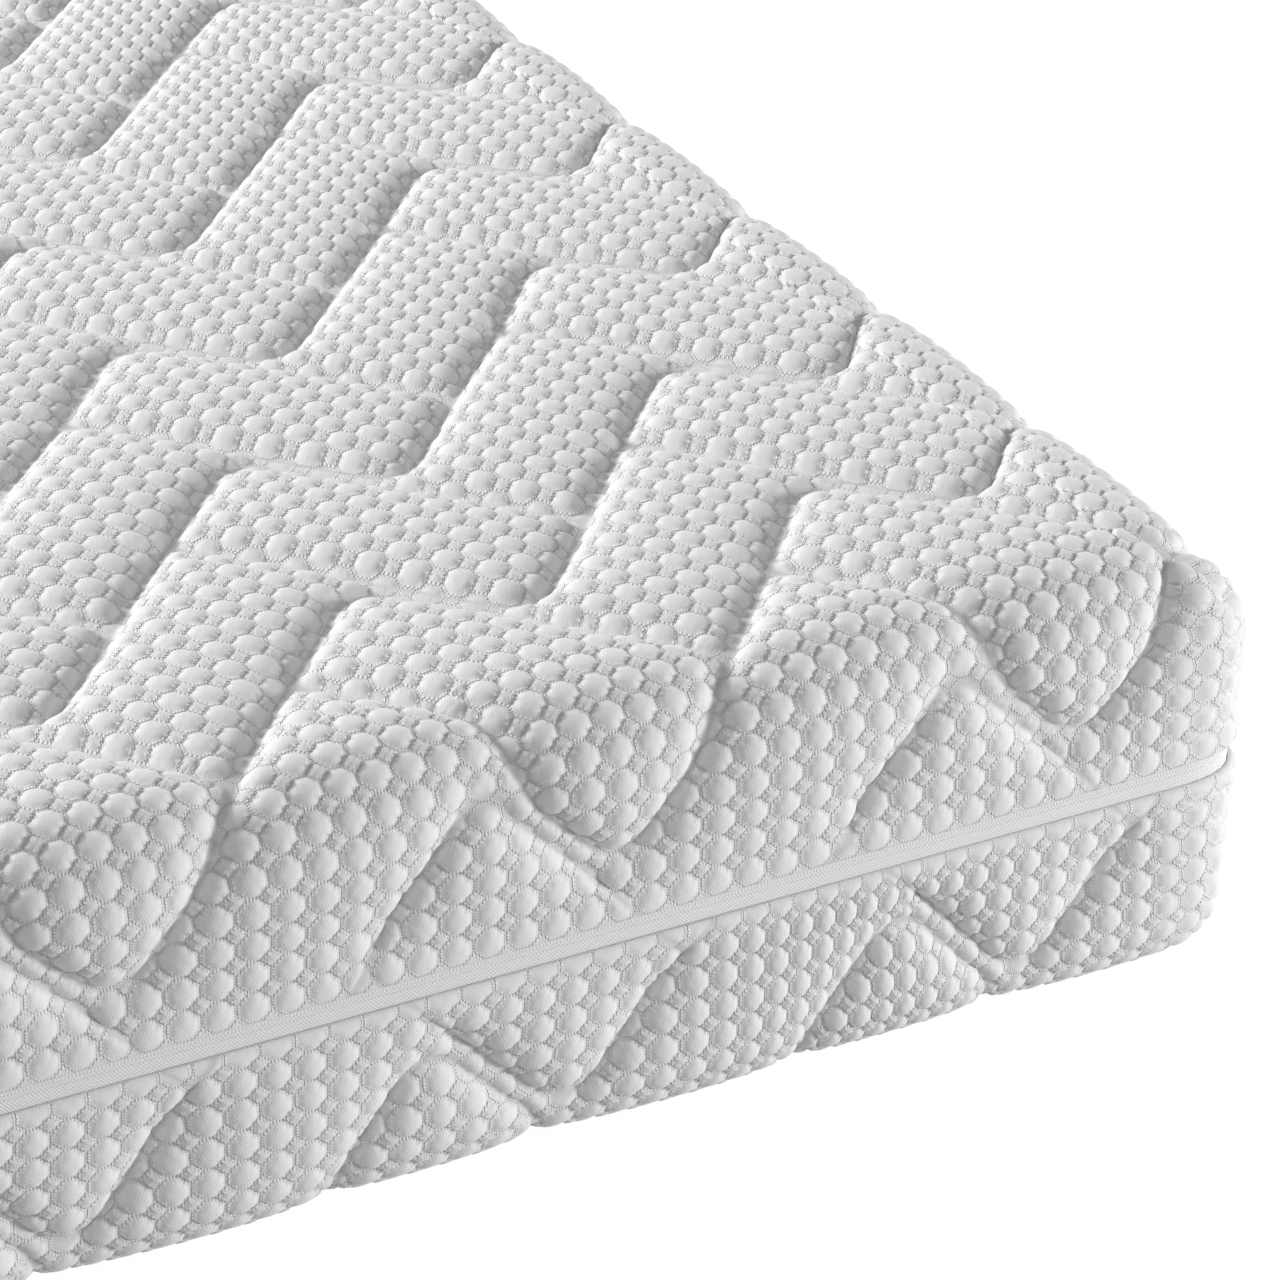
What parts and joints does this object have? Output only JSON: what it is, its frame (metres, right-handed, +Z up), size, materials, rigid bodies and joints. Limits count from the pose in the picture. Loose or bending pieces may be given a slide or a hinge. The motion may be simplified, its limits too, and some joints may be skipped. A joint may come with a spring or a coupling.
{
  "type": "memory foam mattress",
  "caption": "Single memory foam mattress in a white bubble-knit cover, quilted in zigzag lines, whose halves zip together round the waist over a layered foam core.",
  "frame": {"origin": "middle of the underside, on the surface that the mattress lies on", "axes": "+X along the length, towards the right end of the pictured long side; +Y across the width, towards the rear; +Z up through the sleeping side"},
  "size_m": [2, 0.9, 0.2],
  "materials": {
    "quilted_knit": "soft bubble knit over wadding, quilted in zigzag lines",
    "lining_cloth": "thin smooth lining",
    "zip_tape": "woven polyester tape",
    "zip_coil": "nylon coil",
    "zip_metal": "crimped, bare",
    "zip_enamel": "white enamel on zinc",
    "sleeve_cloth": "fine stretch knit",
    "memory_foam": "slow open-cell foam",
    "transition_foam": "open-cell foam",
    "support_foam": "cold open-cell foam"
  },
  "bodies": {
    "mattress": {"lower_cover": "quilted_knit", "lower_lining": "lining_cloth", "lower_zip_tape": "zip_tape", "lower_zip_coil": "zip_coil", "lower_zip_stop": "zip_metal", "core_sleeve": "sleeve_cloth", "memory_foam_layer": "memory_foam", "transition_foam_layer": "transition_foam", "support_core": "support_foam"},
    "cover_top": {"upper_cover": "quilted_knit", "upper_lining": "lining_cloth", "upper_zip_tape": "zip_tape", "upper_zip_coil": "zip_coil", "upper_zip_stop": "zip_metal"},
    "slider": {"zip_slider": "zip_enamel"},
    "pull": {"zip_pull": "zip_enamel"}
  },
  "joints": [
    {"name": "cover_lift", "type": "slide", "parent": "mattress", "child": "cover_top", "axis": [0, 0, 1], "range_m": [0, 0.3]},
    {"name": "slider_run", "type": "slide", "parent": "mattress", "child": "slider", "axis": [1, 0, 0], "range_m": [0, 1.76]},
    {"name": "pull_swing", "type": "hinge", "parent": "slider", "child": "pull", "pos_m": [-0.88, 0.4475, 0.1], "axis": [0, 0, 1], "range_deg": [0, 180]}
  ]
}
